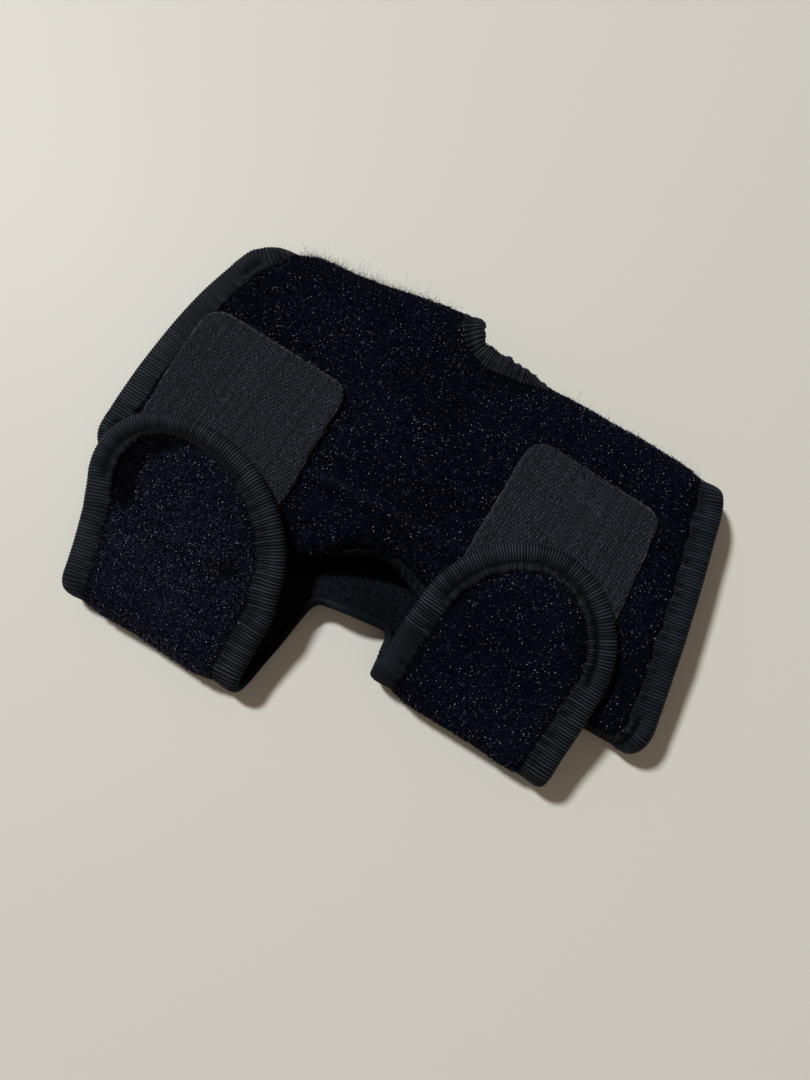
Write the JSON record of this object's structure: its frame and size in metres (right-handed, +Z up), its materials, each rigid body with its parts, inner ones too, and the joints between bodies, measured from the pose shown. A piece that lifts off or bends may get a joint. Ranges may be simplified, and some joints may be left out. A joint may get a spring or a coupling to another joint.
{
  "type": "elbow support",
  "caption": "Adjustable elbow support lying folded and fastened: a bound foam-laminate wrap with an elbow hole, whose straps fold over and hold on its loop face with hook tabs",
  "frame": {"origin": "centre of the bounding box in X and Y, on the surface the support lies on", "axes": "+X along the arm towards the side with the shorter strap, +Y across the arm from the strap folds to the spine fold with the elbow hole, +Z up from the surface"},
  "size_m": [0.2136, 0.1556, 0.0295],
  "materials": {
    "loop_cloth": "brushed loop",
    "binding_tape": "ribbed",
    "hook_tape": "ribbed hooks"
  },
  "bodies": {
    "root": {"wrap_panel": "loop_cloth", "edge_binding": "binding_tape", "elbow_hole_binding": "binding_tape", "hook_tab_left": "hook_tape", "hook_tab_right": "hook_tape"}
  },
  "joints": []
}
